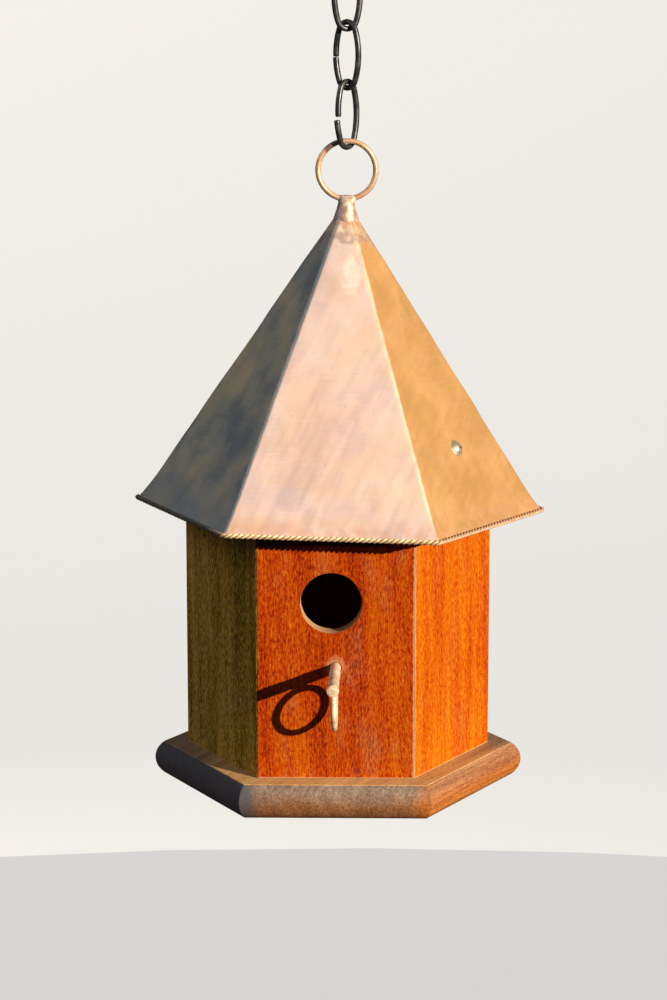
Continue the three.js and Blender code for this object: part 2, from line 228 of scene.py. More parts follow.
def lathe(profile, sides=32, about=None):
    """A turned solid about Z from (radius, height) points that start and end on the axis."""
    verts = [Vector((0, 0, profile[0][1]))]
    rings = profile[1:-1]
    for radius, height in rings:
        for k in range(sides):
            a = 2 * math.pi * k / sides
            verts.append(Vector((radius * math.cos(a), radius * math.sin(a), height)))
    verts.append(Vector((0, 0, profile[-1][1])))
    faces = []
    last = len(verts) - 1
    for k in range(sides):
        j = (k + 1) % sides
        faces.append((0, 1 + j, 1 + k))
        faces.append((last, last - sides + k, last - sides + j))
        for r in range(len(rings) - 1):
            a, b = 1 + r * sides, 1 + (r + 1) * sides
            faces.append((a + k, a + j, b + j, b + k))
    if about is not None:
        verts = [about @ v for v in verts]
    return verts, faces


def circle(centre, radius, count=48):
    turns = (2 * math.pi * k / count for k in range(count))
    return [centre + radius * Vector((math.cos(a), math.sin(a))) for a in turns]


def bridge(bm, a, b):
    """Quads between two loops of bmesh vertices."""
    for i in range(len(a)):
        j = (i + 1) % len(a)
        bm.faces.new((a[i], a[j], b[j], b[i]))


def plate_with_holes(bm, outline, holes, normal):
    """Fills a flat outline less some holes, all given as loops of bmesh vertices, facing along normal."""
    edges = []
    for loop in [outline, *holes]:
        for i, vert in enumerate(loop):
            pair = (vert, loop[(i + 1) % len(loop)])
            edges.append(bm.edges.get(pair) or bm.edges.new(pair))
    bmesh.ops.triangle_fill(bm, use_beauty=True, edges=edges, normal=normal)


def wobble(point, size, amount):
    """A smooth random offset for hand-made surfaces."""
    return noise.noise(point / size) * amount


def settle(name, verts, faces, voxel, smoothing):
    """Melts overlapping shapes into one skin, as solder flows, and returns the mesh."""
    mesh = bpy.data.meshes.new(name)
    mesh.from_pydata([tuple(v) for v in verts], [], faces)
    shape = bpy.data.objects.new(name + "_shape", mesh)
    bpy.context.scene.collection.objects.link(shape)
    remesh = shape.modifiers.new("remesh", "REMESH")
    remesh.mode = "VOXEL"
    remesh.voxel_size = voxel
    smooth = shape.modifiers.new("smooth", "SMOOTH")
    smooth.iterations = smoothing
    smooth.factor = 0.5
    evaluated = shape.evaluated_get(bpy.context.evaluated_depsgraph_get())
    result = bpy.data.meshes.new_from_object(evaluated)
    bpy.data.objects.remove(shape)
    result.name = name
    return result


# ---- Shaders ----

class Shader:
    """A material's node tree, built one node at a time."""

    def __init__(self, name):
        self.material = bpy.data.materials.new(name)
        self.material.use_nodes = True
        self.tree = self.material.node_tree
        self.surface = self.tree.nodes["Principled BSDF"]

    def plug(self, socket, value):
        if isinstance(value, bpy.types.NodeSocket):
            self.tree.links.new(value, socket)
        elif isinstance(value, tuple) and socket.type == "RGBA":
            socket.default_value = (*value, 1)
        else:
            socket.default_value = value

    def node(self, kind, *inputs, **settings):
        """A node with its first inputs filled in order, and its first output."""
        made = self.tree.nodes.new("ShaderNode" + kind)
        for key, value in settings.items():
            setattr(made, key, value)
        for socket, value in zip(made.inputs, inputs):
            if value is not None:
                self.plug(socket, value)
        return made.outputs[0]

    def math(self, operation, a, b=None, c=None, clamp=False):
        return self.node("Math", a, b, c, operation=operation, use_clamp=clamp)

    def add(self, a, b):
        return self.math("ADD", a, b)

    def times(self, a, b, clamp=False):
        return self.math("MULTIPLY", a, b, clamp=clamp)

    def ease(self, value, low, high, to_low=0.0, to_high=1.0):
        """A smooth step from low to high."""
        made = self.tree.nodes.new("ShaderNodeMapRange")
        made.interpolation_type = "SMOOTHSTEP"
        for socket, given in zip(made.inputs, (value, low, high, to_low, to_high)):
            self.plug(socket, given)
        return made.outputs[0]

    def mix(self, share, a, b):
        made = self.tree.nodes.new("ShaderNodeMix")
        made.data_type = "RGBA"
        self.plug(made.inputs["Factor"], share)
        colours = [s for s in made.inputs if s.type == "RGBA"]
        self.plug(colours[0], a)
        self.plug(colours[1], b)
        return next(s for s in made.outputs if s.type == "RGBA")

    def place(self):
        """The point on the piece in millimetres, in the piece's own frame, as x, y, z."""
        coordinates = self.tree.nodes.new("ShaderNodeTexCoord").outputs["Object"]
        scaled = self.node("VectorMath", coordinates, (1000, 1000, 1000), operation="MULTIPLY")
        split = self.tree.nodes.new("ShaderNodeSeparateXYZ")
        self.plug(split.inputs[0], scaled)
        return split.outputs[0], split.outputs[1], split.outputs[2]

    def vector(self, x, y, z):
        return self.node("CombineXYZ", x, y, z)

    def noise(self, vector, feature, detail=2.0, roughness=0.5, distortion=0.0):
        """Noise whose features are so many millimetres across."""
        made = self.tree.nodes.new("ShaderNodeTexNoise")
        self.plug(made.inputs["Vector"], vector)
        made.inputs["Scale"].default_value = 1 / feature
        made.inputs["Detail"].default_value = detail
        made.inputs["Roughness"].default_value = roughness
        made.inputs["Distortion"].default_value = distortion
        return made.outputs[0]

    def ramp(self, value, *stops):
        """A colour from (position, colour) stops."""
        made = self.tree.nodes.new("ShaderNodeValToRGB")
        elements = made.color_ramp.elements
        while len(elements) < len(stops):
            elements.new(0.5)
        for element, (position, colour) in zip(elements, stops):
            element.position = position
            element.color = (*colour, 1)
        self.plug(made.inputs[0], value)
        return made.outputs[0]

    def bump(self, height, distance, strength):
        made = self.tree.nodes.new("ShaderNodeBump")
        made.inputs["Strength"].default_value = strength
        made.inputs["Distance"].default_value = distance
        self.plug(made.inputs["Height"], height)
        return made.outputs[0]

    def finish(self, **inputs):
        for key, value in inputs.items():
            self.plug(self.surface.inputs[key.replace("_", " ")], value)
        return self.material


def mahogany(name, seed, tone, bleach, lean=0.0, mouth=False, arris=0, painted_shade_olive=0.0):
    """Oiled mahogany with upright grain in short flecks. tone shifts it from deep red to orange, bleach lays
    a lilac-grey bloom on it in patches, lean tilts the grain, arris picks the side whose edge is worn pale,
    and painted_shade_olive turns it towards a grey-green brown as painted shade, for walls that stand in
    shade. mouth bares the wood round the entrance and the perch, and darkens the wall just under the eave
    with a painted shadow of the eave."""
    s = Shader(name)
    x, y, z = s.place()
    up = s.add(z, -DECK / MM)
    shifted = s.add(x, seed * 137.0)
    drift = s.noise(s.vector(shifted, y, s.times(up, 0.35)), 60, 1)
    across = s.add(shifted, s.add(s.times(drift, 16.0), s.times(up, lean)))
    bands = s.noise(s.vector(across, y, s.times(up, 0.06)), 11, 3, 0.55)
    flecks = s.noise(s.vector(across, y, s.times(up, 0.30)), 1.0, 3, 0.7)
    fibres = s.noise(s.vector(across, y, s.times(up, 0.04)), 0.7, 2, 0.6)
    pores = s.noise(s.vector(across, y, s.times(up, 0.22)), 0.7, 2, 0.5)

    value = s.add(s.times(bands, 0.45), s.add(s.times(flecks, 0.85), s.times(fibres, 0.35)))
    value = s.add(value, s.ease(up, 70.0, 5.0, tone - 0.32, tone - 0.28))
    colour = s.ramp(
        value,
        (0.32, (0.10, 0.007, 0.0005)),
        (0.43, (0.25, 0.020, 0.0008)),
        (0.53, (0.40, 0.045, 0.0012)),
        (0.66, (0.47, 0.100, 0.0020)),
        (0.80, (0.56, 0.190, 0.0060)),
    )
    # painted shade: walls that stand in shade are turned a grey-green brown, as if lit only by green bounce
    # light
    if painted_shade_olive:
        olive_shade_colour = s.ramp(
            value,
            (0.36, (0.085, 0.040, 0.002)),
            (0.50, (0.27, 0.145, 0.008)),
            (0.64, (0.58, 0.390, 0.080)),
        )
        share = s.times(s.ease(bands, 0.34, 0.60, 1.0, 0.80), painted_shade_olive)
        colour = s.mix(share, colour, olive_shade_colour)
    dark_pores = s.ease(pores, 0.35, 0.27)
    colour = s.mix(s.times(dark_pores, 0.6), colour, (0.07, 0.010, 0.004))
    pale_pores = s.ease(pores, 0.70, 0.77)
    colour = s.mix(s.times(pale_pores, 0.40), colour, (0.62, 0.26, 0.07))

    patches = s.noise(s.vector(s.add(x, seed * 11.0), y, s.times(up, 0.40)), 16, 3, 0.55)
    worn = s.times(s.ease(patches, 0.52, 0.72), bleach, clamp=True)
    bloom = s.mix(s.ease(flecks, 0.35, 0.65), (0.20, 0.055, 0.026), (0.46, 0.165, 0.060))
    colour = s.mix(worn, colour, bloom)

    ragged = s.times(s.noise(s.vector(x, y, up), 2.2, 3), 1.4)
    bare = s.ease(up, 1.3, 0.5, 0.0, 0.7)
    if arris:
        from_arris = s.add(s.times(x, arris), -WALL_HALF / MM)
        bare = s.math("MAXIMUM", bare, s.ease(s.add(from_arris, ragged), -0.5, 0.2, 0.0, 0.75))
    if mouth:
        from_perch = distance_from(s, x, up, PERCH.x / MM, (PERCH.y - DECK) / MM + 1.5)
        rubbed = s.ease(s.add(from_perch, s.times(ragged, 5.0)), 11.5, 5.5)
        bare = s.math("MAXIMUM", bare, s.times(rubbed, 0.6))
        from_hole = distance_from(s, x, up, HOLE.x / MM, (HOLE.y - DECK) / MM)
        inside = s.ease(s.add(y, s.times(ragged, 0.3)), 0.3 - WALL_FACE / MM, 0.8 - WALL_FACE / MM)
        rim = s.times(s.ease(from_hole, HOLE_RADIUS / MM + 1.0, HOLE_RADIUS / MM + 0.5), inside)
        bare = s.math("MAXIMUM", bare, rim)
    colour = s.mix(s.times(bare, 0.9), colour, (0.54, 0.33, 0.17))
    # painted shadow: the band just under the eave is darkened nearly black, fading towards the right corner
    # as the eave's shadow does
    if mouth:
        painted_eave_shade = s.times(s.ease(up, 146.5, 149.5), s.ease(x, 44.0, 26.0))
        colour = s.mix(s.times(painted_eave_shade, 0.93), colour, (0.02, 0.010, 0.006))

    height = s.add(s.times(flecks, 0.6), s.add(s.times(fibres, 0.4), s.times(dark_pores, -0.5)))
    return s.finish(
        Base_Color=colour,
        Roughness=s.ease(s.add(flecks, s.times(worn, 0.3)), 0.3, 0.9, 0.42, 0.70),
        Normal=s.bump(height, 0.22 * MM, 0.5),
        Specular_IOR_Level=0.06,
    )


def distance_from(s, across, up, centre_across, centre_up):
    """How far a point on a wall is from another, in millimetres."""
    dx = s.add(across, -centre_across)
    dz = s.add(up, -centre_up)
    return s.math("SQRT", s.add(s.times(dx, dx), s.times(dz, dz)))


def weathered_board(name):
    """Rough-grained board, tan on top, greyed towards the left as painted shade and towards the rear. Its
    nose is greyed above and rusty below, redder on the right, and dark slate on the left as painted shade
    and painted sky reflection. Its bottom edge and underside are darkened as painted shade. The grain runs
    level, along the right-front side."""
    s = Shader(name)
    x, y, z = s.place()
    up = s.add(z, -DECK / MM)
    grain = math.radians(60)
    along = s.add(s.times(x, math.cos(grain)), s.times(y, math.sin(grain)))
    across = s.add(s.times(x, -math.sin(grain)), s.times(y, math.cos(grain)))
    drift = s.noise(s.vector(s.times(along, 0.3), across, up), 40, 1)
    across = s.add(across, s.times(drift, 7.0))
    lines = s.noise(s.vector(s.times(along, 0.03), across, up), 1.7, 3, 0.6)
    flecks = s.noise(s.vector(s.times(along, 0.25), across, up), 0.8, 3, 0.7)
    rings = s.noise(s.vector(s.times(along, 0.04), across, s.times(up, 0.9)), 7, 2, 0.5)

    value = s.add(s.times(lines, 0.35), s.add(s.times(flecks, 0.45), s.times(rings, 0.25)))
    tan = s.ramp(
        value,
        (0.40, (0.34, 0.165, 0.058)),
        (0.52, (0.60, 0.335, 0.125)),
        (0.66, (0.80, 0.520, 0.230)),
    )
    rust = s.ramp(
        value,
        (0.40, (0.11, 0.034, 0.010)),
        (0.52, (0.22, 0.082, 0.026)),
        (0.66, (0.36, 0.165, 0.068)),
    )
    grey = s.ramp(
        value,
        (0.40, (0.120, 0.085, 0.066)),
        (0.52, (0.225, 0.160, 0.120)),
        (0.66, (0.36, 0.275, 0.215)),
    )
    patches = s.noise(s.vector(s.times(along, 0.35), across, up), 20, 3, 0.55)
    uneven = s.times(s.add(patches, -0.5), 6.0)
    on_top = s.ease(up, -0.5, -0.1)
    greyed = s.ease(s.add(up, uneven), -15.5, -3.0, 0.0, 0.85)
    right = s.add(s.times(x, math.cos(HALF_SECTOR)), s.times(y, -math.sin(HALF_SECTOR)))
    ruddy = s.ramp(
        value,
        (0.40, (0.24, 0.060, 0.008)),
        (0.52, (0.40, 0.115, 0.016)),
        (0.66, (0.56, 0.220, 0.050)),
    )
    to_right = s.ease(right, 90.0, 100.0)
    greyed = s.times(greyed, s.add(1.0, s.times(to_right, -0.5)))
    nose = s.mix(greyed, s.mix(to_right, rust, ruddy), grey)
    left = s.add(s.times(x, -math.cos(HALF_SECTOR)), s.times(y, -math.sin(HALF_SECTOR)))
    shaded_left = s.ease(left, 90.0, 100.0)
    # painted shade and painted sky reflection: the left of the nose turns dark slate
    nose = s.mix(s.times(shaded_left, 0.8), nose, (0.056, 0.064, 0.078))
    # painted shade: the top greys towards the left, where the house shades it; the grey towards the rear is
    # weathering
    sides = s.ease(s.add(s.times(x, -1.0), s.times(uneven, 3.0)), 60.0, 100.0)
    rear = s.ease(s.add(y, s.times(uneven, 3.0)), -50.0, 20.0)
    top = s.mix(s.times(s.math("MAXIMUM", sides, rear), 0.75), tan, grey)
    colour = s.mix(on_top, nose, top)

    pores = s.noise(s.vector(s.times(along, 0.15), across, up), 0.6, 2)
    specks = s.ease(pores, 0.36, 0.28)
    colour = s.mix(s.times(specks, 0.7), colour, (0.035, 0.018, 0.012))
    pale = s.ease(pores, 0.70, 0.78)
    colour = s.mix(s.times(pale, 0.45), colour, (0.66, 0.48, 0.34))
    # painted shade: the bottom edge of the nose and the underside are darkened
    painted_underside_shade = s.ease(up, -BASE_THICKNESS / MM + 2.5, -BASE_THICKNESS / MM + 0.3)
    colour = s.mix(s.times(painted_underside_shade, 0.6), colour, (0.040, 0.024, 0.016))

    height = s.add(s.times(lines, 0.5), s.add(s.times(flecks, 0.5), s.times(specks, -0.5)))
    return s.finish(
        Base_Color=colour,
        Roughness=s.ease(flecks, 0.3, 0.7, 0.50, 0.78),
        Normal=s.bump(height, 0.30 * MM, 0.55),
        Specular_IOR_Level=0.2,
    )


def plain_board(name):
    """Bare sawn softwood."""
    s = Shader(name)
    x, y, z = s.place()
    lines = s.noise(s.vector(s.times(x, 0.04), y, s.times(z, 0.6)), 3.5, 4, 0.6, 0.4)
    saw = s.noise(s.vector(s.times(y, 0.1), x, z), 1.3, 2)
    colour = s.ramp(
        s.add(s.times(lines, 0.8), s.times(saw, 0.2)),
        (0.35, (0.30, 0.16, 0.07)),
        (0.65, (0.62, 0.42, 0.22)),
    )
    return s.finish(Base_Color=colour, Roughness=0.8, Normal=s.bump(saw, 0.3 * MM, 0.5))


def roof_copper(name):
    """Aged copper sheet. Each side has its own colour, partly from weathering and partly painted light:
    golden brown on the right, peach with a grey-lilac bloom in front, slate and brown on the left, where the
    slate, and the blue towards the eave, are painted shade and painted sky reflection. Its hips are rubbed
    bright, paler on the sides that face the light as painted highlight, and darkened on the left as painted
    shade.
    Its crown is pale with solder inside a dark edge, and heat has reddened it along the eave."""
    s = Shader(name)
    x, y, z = s.place()
    up = s.add(z, -EAVE_Z / MM)
    point = s.vector(x, y, z)
    clouds = s.noise(point, 46, 3, 0.5, 0.3)
    blooms = s.noise(s.vector(s.add(x, 91.0), y, s.times(z, 0.7)), 17, 4, 0.55, 0.5)
    slant = s.add(x, s.times(z, -0.45))
    streaks = s.noise(s.vector(slant, s.times(y, 0.2), s.times(z, 0.05)), 5.0, 3, 0.6)
    brushed = s.noise(s.vector(slant, s.times(y, 0.2), s.times(z, 0.05)), 0.8, 2, 0.6)
    scratches = s.noise(s.vector(s.times(x, 0.04), s.times(y, 0.04), z), 0.9, 3, 0.6)
    grit = s.noise(point, 1.3, 3, 0.6)

    normal = s.tree.nodes.new("ShaderNodeTexCoord").outputs["Normal"]
    split = s.tree.nodes.new("ShaderNodeSeparateXYZ")
    s.plug(split.inputs[0], normal)
    side = split.outputs[0]
    to_right = s.ease(side, 0.12, 0.40)
    shaded_left = s.ease(side, -0.12, -0.40)

    low_streaks = s.times(s.ease(up, 120.0, 20.0, 0.02, 0.13), s.ease(shaded_left, 1.0, 0.0))
    calm = s.ease(shaded_left, 0.0, 1.0, 0.62, 1.0)
    value = s.add(s.times(s.add(clouds, -0.5), s.times(calm, 0.80)), s.times(s.add(blooms, -0.5), 0.16))
    value = s.add(value, 0.5)
    value = s.add(value, s.times(s.add(streaks, -0.5), low_streaks))
    value = s.add(value, s.times(s.add(brushed, -0.5), 0.05))
    value = s.add(value, s.times(s.add(grit, -0.5), 0.07))
    value = s.add(value, s.times(s.add(scratches, -0.5), 0.16))
    right = s.ramp(
        value,
        (0.36, (0.50, 0.270, 0.098)),
        (0.50, (0.57, 0.305, 0.112)),
        (0.64, (0.65, 0.350, 0.145)),
    )
    front = s.ramp(
        value,
        (0.36, (0.68, 0.515, 0.495)),
        (0.46, (0.80, 0.585, 0.530)),
        (0.54, (0.83, 0.620, 0.530)),
        (0.66, (0.86, 0.670, 0.550)),
    )
    # painted shade and painted sky reflection: the left side takes darker slate colours over its brown
    # patina
    left = s.ramp(
        value,
        (0.38, (0.27, 0.290, 0.300)),
        (0.50, (0.46, 0.425, 0.345)),
        (0.62, (0.62, 0.490, 0.310)),
    )
    # painted sky reflection: the left side turns blue towards the eave
    painted_sky_reflection = s.ease(up, 35.0, 3.0, 0.0, 0.5)
    left = s.mix(painted_sky_reflection, left, (0.28, 0.325, 0.39))
    colour = s.mix(shaded_left, s.mix(to_right, front, right), left)

    stains = s.noise(s.vector(x, s.add(y, 47.0), z), 38, 3)
    ochre = s.times(s.ease(stains, 0.42, 0.66), s.ease(shaded_left, 1.0, 0.0))
    colour = s.mix(s.times(ochre, 0.26), colour, (0.72, 0.42, 0.18))
    heat = s.times(s.ease(up, 16.0, 3.0), s.ease(shaded_left, 1.0, 0.0))
    heat = s.times(heat, s.ease(s.noise(point, 8, 3), 0.32, 0.60))
    colour = s.mix(s.times(heat, 0.5), colour, (0.72, 0.37, 0.22))

    angle = s.math("ARCTAN2", y, x)
    turn = s.math("PINGPONG", s.add(angle, 8 * math.pi), HALF_SECTOR)
    radius = s.math("SQRT", s.add(s.times(x, x), s.times(y, y)))
    from_hip = s.times(turn, radius)
    rub = s.noise(s.vector(x, y, s.times(z, 0.2)), 3.5, 3, 0.6)
    hip = s.ease(s.add(from_hip, s.times(rub, -2.0)), 0.6, -0.8)
    # partly rubbed wear, partly painted highlight: the hips turn pale, most on the sides that face the light
    worn = s.times(hip, s.ease(side, -0.46, 0.05, 0.0, 0.7))
    colour = s.mix(worn, colour, (0.90, 0.72, 0.56))
    # painted shade: the hips on the left are darkened to a blue-grey
    painted_hip_shade = s.times(hip, s.ease(side, -0.15, -0.40, 0.0, 0.65))
    colour = s.mix(painted_hip_shade, colour, (0.21, 0.20, 0.25))

    crown = s.ease(s.add(up, s.times(s.noise(point, 8, 3, 0.6), 24.0)), 178.0, 192.0)
    tinned = s.ramp(
        s.noise(point, 6, 3),
        (0.40, (0.60, 0.36, 0.22)),
        (0.50, (0.76, 0.53, 0.37)),
        (0.60, (0.86, 0.68, 0.52)),
    )
    colour = s.mix(s.times(crown, s.ease(shaded_left, 1.0, 0.0, 0.3, 0.85)), colour, tinned)
    edge = s.times(s.ease(crown, 0.05, 0.5), s.ease(crown, 0.95, 0.5))
    colour = s.mix(s.times(edge, 0.55), colour, (0.30, 0.20, 0.19))
    smear = distance_from(s, s.times(x, 1.6), s.times(up, 0.8), 8.0, 121.0)
    smear = s.ease(s.add(smear, s.times(s.noise(point, 7, 3), 16.0)), 19.0, 12.0)
    colour = s.mix(s.times(smear, s.ease(shaded_left, 1.0, 0.0, 0.0, 0.85)), colour, (0.95, 0.82, 0.70))

    pits = s.noise(point, 2.1, 2, 0.5)
    pit = s.times(s.ease(pits, 0.73, 0.77), s.ease(blooms, 0.48, 0.6))
    colour = s.mix(s.times(pit, 0.8), colour, (0.40, 0.10, 0.05))
    height = s.add(s.times(scratches, 0.4), s.add(s.times(grit, 0.5), s.times(pits, 0.3)))
    return s.finish(
        Base_Color=colour,
        Metallic=s.ease(hip, 0.0, 1.0, 0.35, 0.7),
        Specular_IOR_Level=0.25,
        Roughness=s.ease(s.add(s.times(streaks, 0.5), s.times(blooms, 0.5)), 0.35, 0.65, 0.42, 0.58),
        Normal=s.bump(height, 0.10 * MM, 0.45),
    )


def copper_wire(name, bright, dark, patina=0.5, dull=0.0, painted_side_light=False, painted_link_shadow=None):
    """Drawn copper wire with a mottled brown skin. dull takes its shine off, painted_side_light darkens it
    towards the left as painted shade and reddens it to the right as painted light, and painted_link_shadow
    is where, across and up, a painted shadow of a chain link darkens it to purple-brown."""
    s = Shader(name)
    x, y, z = s.place()
    point = s.vector(x, y, z)
    clouds = s.noise(point, 5, 4, 0.6)
    fine = s.noise(point, 0.9, 3, 0.6)
    value = s.add(s.times(clouds, 0.8), s.times(fine, 0.2))
    colour = s.mix(s.ease(value, patina - 0.14, patina + 0.14), dark, bright)
    # painted light and shade: the wire is darkened on the left and turned copper-brown on the right
    if painted_side_light:
        uneven = s.add(x, s.times(clouds, 10.0))
        colour = s.mix(s.ease(uneven, 66.0, 80.0, 0.0, 0.6), colour, (0.46, 0.24, 0.16))
        colour = s.mix(s.ease(uneven, -56.0, -66.0, 0.0, 0.85), colour, (0.085, 0.085, 0.10))
    # painted shadow: a dark patch where a chain link's shadow falls
    if painted_link_shadow:
        near = s.add(distance_from(s, x, z, *painted_link_shadow), s.times(clouds, 5.0))
        colour = s.mix(s.ease(near, 10.5, 7.5, 0.0, 0.85), colour, (0.16, 0.085, 0.085))
    return s.finish(
        Base_Color=colour,
        Metallic=0.75 - 0.5 * dull,
        Roughness=s.ease(value, 0.35, 0.65, 0.52 + 0.15 * dull, 0.38 + 0.2 * dull),
        Normal=s.bump(fine, 0.1 * MM, 0.25),
    )


def pale_copper(name):
    """Copper under a chalky cream and salmon bloom, with brown spots."""
    s = Shader(name)
    x, y, z = s.place()
    point = s.vector(x, y, z)
    clouds = s.noise(point, 6, 4, 0.6)
    fine = s.noise(point, 1.1, 4, 0.65)
    colour = s.ramp(
        s.add(s.times(clouds, 0.6), s.times(fine, 0.4)),
        (0.36, (0.32, 0.180, 0.100)),
        (0.45, (0.66, 0.450, 0.280)),
        (0.56, (0.84, 0.680, 0.470)),
        (0.70, (0.93, 0.860, 0.700)),
    )
    return s.finish(
        Base_Color=colour,
        Metallic=0.2,
        Roughness=s.ease(fine, 0.3, 0.7, 0.45, 0.68),
        Normal=s.bump(s.add(clouds, fine), 0.3 * MM, 0.4),
    )


def solder(name):
    """Copper heated pink and brown, with dull tin run over it, and darkened to purple-grey on the left as
    painted shade.
    """
    s = Shader(name)
    x, y, z = s.place()
    point = s.vector(x, y, z)
    clouds = s.noise(point, 4.5, 3, 0.55)
    fine = s.noise(point, 1.2, 2, 0.5)
    colour = s.ramp(
        clouds,
        (0.38, (0.44, 0.26, 0.19)),
        (0.50, (0.62, 0.41, 0.29)),
        (0.62, (0.78, 0.63, 0.51)),
    )
    # painted shade: the left side of the collar is darkened to purple-grey
    colour = s.mix(s.ease(x, 0.5, -4.5, 0.0, 0.7), colour, (0.30, 0.22, 0.24))
    return s.finish(
        Base_Color=colour,
        Metallic=0.35,
        Roughness=s.ease(clouds, 0.35, 0.65, 0.50, 0.62),
        Normal=s.bump(s.add(clouds, s.times(fine, 0.4)), 0.25 * MM, 0.4),
    )


def black_steel(name):
    """Blackened steel wire, dusty, with bare and rusty rub marks."""
    s = Shader(name)
    x, y, z = s.place()
    point = s.vector(x, y, z)
    clouds = s.noise(point, 5.5, 3, 0.5)
    fine = s.noise(s.vector(x, y, s.times(z, 0.4)), 0.9, 2, 0.5)
    value = s.add(s.times(clouds, 0.85), s.times(fine, 0.15))
    colour = s.ramp(
        value,
        (0.42, (0.016, 0.019, 0.025)),
        (0.58, (0.030, 0.029, 0.028)),
        (0.70, (0.090, 0.070, 0.052)),
    )
    return s.finish(
        Base_Color=colour,
        Metallic=0.1,
        Specular_IOR_Level=0.75,
        Roughness=s.ease(value, 0.35, 0.65, 0.30, 0.44),
        Normal=s.bump(fine, 0.10 * MM, 0.25),
    )


def screw_steel(name):
    """Plated steel, dulled outdoors."""
    s = Shader(name)
    x, y, z = s.place()
    point = s.vector(x, y, z)
    clouds = s.noise(point, 2.2, 4, 0.6)
    fine = s.noise(point, 0.4, 2, 0.5)
    colour = s.mix(s.ease(clouds, 0.38, 0.62), (0.34, 0.28, 0.20), (0.56, 0.49, 0.37))
    return s.finish(
        Base_Color=colour,
        Metallic=0.55,
        Roughness=s.ease(clouds, 0.35, 0.65, 0.50, 0.40),
        Normal=s.bump(fine, 0.08 * MM, 0.4),
    )


WEATHERED = weathered_board("weathered_board")
PLAIN = plain_board("plain_board")
ROOF_COPPER = roof_copper("roof_copper")
# where the painted shadow of the chain link falls on the hanging ring
RING_LINK_SHADOW = (-9.0, (RING_Z + RING_RADIUS) / MM - 2.0)
RING_COPPER = copper_wire(
    "ring_copper", (0.92, 0.56, 0.34), (0.58, 0.29, 0.16), 0.46, dull=0.3, painted_link_shadow=RING_LINK_SHADOW
)
ROPE_COPPER = copper_wire("rope_copper", (0.80, 0.58, 0.34), (0.44, 0.27, 0.14), 0.44, dull=1.0, painted_side_light=True)
PALE_COPPER = pale_copper("pale_copper")
SOLDER = solder("solder")
BLACK_STEEL = black_steel("black_steel")
SCREW_STEEL = screw_steel("screw_steel")


# ---- Walls ----

def wall_mesh(name, holes=()):
    """A mitred panel at the front, with eased arrises, and round holes (centre, radius, depth, chamfer)."""
    bm = bmesh.new()
    ease = 0.35 * MM
    thickness = WALL_FACE - WALL_INSIDE
    taper = math.tan(HALF_SECTOR)
    half, inner = WALL_HALF, WALL_HALF - thickness * taper
    outline = [
        (-half + ease, -WALL_FACE),
        (half - ease, -WALL_FACE),
        (half - 0.25 * ease, -WALL_FACE + 0.5 * ease),
        (half - 1.2 * ease * taper, -WALL_FACE + 1.2 * ease),
        (inner, -WALL_INSIDE),
        (-inner, -WALL_INSIDE),
        (-half + 1.2 * ease * taper, -WALL_FACE + 1.2 * ease),
        (-half + 0.25 * ease, -WALL_FACE + 0.5 * ease),
    ]
    low, high = wall_low.z, WALL_TOP
    bottom = [bm.verts.new((x, y, low)) for x, y in outline]
    top = [bm.verts.new((x, y, high)) for x, y in outline]
    bm.faces.new(bottom)
    bm.faces.new(reversed(top))
    for i in range(1, len(outline)):
        j = (i + 1) % len(outline)
        if i != 4 or not holes:
            bm.faces.new((bottom[i], bottom[j], top[j], top[i]))
    front_rims, back_rims = [], []
    for centre, radius, depth, chamfer in holes:
        levels = [(radius + chamfer, 0), (radius, chamfer), (radius, depth)]
        rings = []
        for ring_radius, at in levels:
            y = -WALL_FACE + at
            rings.append([bm.verts.new((p.x, y, p.y)) for p in circle(centre, ring_radius, 72)])
        for a, b in zip(rings, rings[1:]):
            bridge(bm, a, b)
        front_rims.append(rings[0])
        if depth >= thickness:
            back_rims.append(rings[-1])
        else:
            bm.faces.new(rings[-1])
    plate_with_holes(bm, [bottom[0], bottom[1], top[1], top[0]], front_rims, Vector((0, -1, 0)))
    if holes:
        plate_with_holes(bm, [bottom[4], bottom[5], top[5], top[4]], back_rims, Vector((0, 1, 0)))
    bmesh.ops.recalc_face_normals(bm, faces=bm.faces)
    mesh = bpy.data.meshes.new(name)
    bm.to_mesh(mesh)
    bm.free()
    return mesh


def build_walls():
    names = ["front", "right_front", "right_rear", "rear", "left_rear", "left_front"]
    looks = {
        "front": dict(seed=1, tone=0.0, bleach=0.40, lean=0.03, mouth=True, arris=1),
        "right_front": dict(seed=2, tone=0.12, bleach=0.15, lean=0.01, arris=-1),
        "right_rear": dict(seed=3, tone=0.05, bleach=0.30, lean=-0.02),
        "rear": dict(seed=4, tone=0.0, bleach=0.40, lean=0.03),
        "left_rear": dict(seed=5, tone=-0.02, bleach=0.40, painted_shade_olive=0.6),
        "left_front": dict(seed=6, tone=0.0, bleach=0.12, lean=0.02, painted_shade_olive=1.0),
    }
    thickness = WALL_FACE - WALL_INSIDE
    front_holes = [
        (HOLE, HOLE_RADIUS, thickness, 0.35 * MM),
        (PERCH, PERCH_RADIUS + 0.4 * MM, PERCH_SOCKET + 0.5 * MM, 0.3 * MM),
    ]
    for k, name in enumerate(names):
        mesh = wall_mesh(name + "_panel", front_holes if k == 0 else ())
        look = mahogany("mahogany_" + name, **looks[name])
        node = name + "_wall"
        add_mesh(name + "_panel", mesh, look, "house", [node], False,
                 BOX_PLACE @ Matrix.Rotation(2 * HALF_SECTOR * k, 4, "Z"))


# ---- Boards ----

